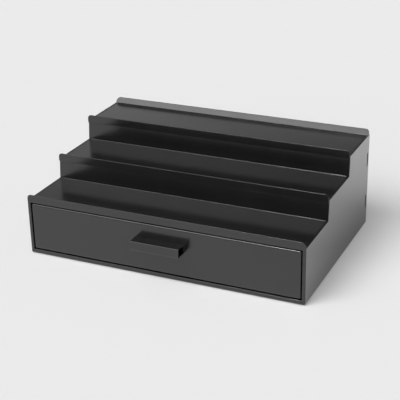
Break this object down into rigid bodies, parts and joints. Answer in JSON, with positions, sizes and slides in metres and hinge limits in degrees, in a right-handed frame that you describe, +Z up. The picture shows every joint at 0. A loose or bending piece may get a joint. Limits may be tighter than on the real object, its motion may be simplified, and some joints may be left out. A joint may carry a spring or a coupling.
{
  "type": "fragrance organizer with drawer",
  "caption": "Stepped metal organizer with lipped shelves for fragrance bottles above a full-width pull-out drawer with a short bar pull.",
  "frame": {"origin": "centre of the footprint, pull included, on the surface that the feet stand on", "axes": "+X to the right as the drawer front is faced, +Y to the rear, +Z up"},
  "size_m": [0.3, 0.2134, 0.1092],
  "materials": {
    "powder_coated_steel": "satin charcoal powder coat with a fine orange-peel grain",
    "rubber_foot": "matte black rubber",
    "zinc_screw": "bright zinc plating"
  },
  "bodies": {
    "carcass": {"left_side_panel": "powder_coated_steel", "right_side_panel": "powder_coated_steel", "front_frame": "powder_coated_steel", "lower_tier": "powder_coated_steel", "middle_tier": "powder_coated_steel", "top_tier": "powder_coated_steel", "middle_lip": "powder_coated_steel", "top_lip": "powder_coated_steel", "bottom_panel": "powder_coated_steel", "back_panel": "powder_coated_steel", "left_runner": "powder_coated_steel", "right_runner": "powder_coated_steel", "left_drawer_stop": "powder_coated_steel", "right_drawer_stop": "powder_coated_steel", "left_closing_bumper": "rubber_foot", "right_closing_bumper": "rubber_foot", "foot_front_left": "rubber_foot", "foot_front_right": "rubber_foot", "foot_rear_left": "rubber_foot", "foot_rear_right": "rubber_foot"},
    "drawer": {"drawer_tray": "powder_coated_steel", "drawer_front": "powder_coated_steel", "drawer_pull": "powder_coated_steel", "pull_screws": "zinc_screw"}
  },
  "joints": [
    {"name": "drawer_slide", "type": "slide", "parent": "carcass", "child": "drawer", "axis": [0, -1, 0], "range_m": [0, 0.14]}
  ]
}
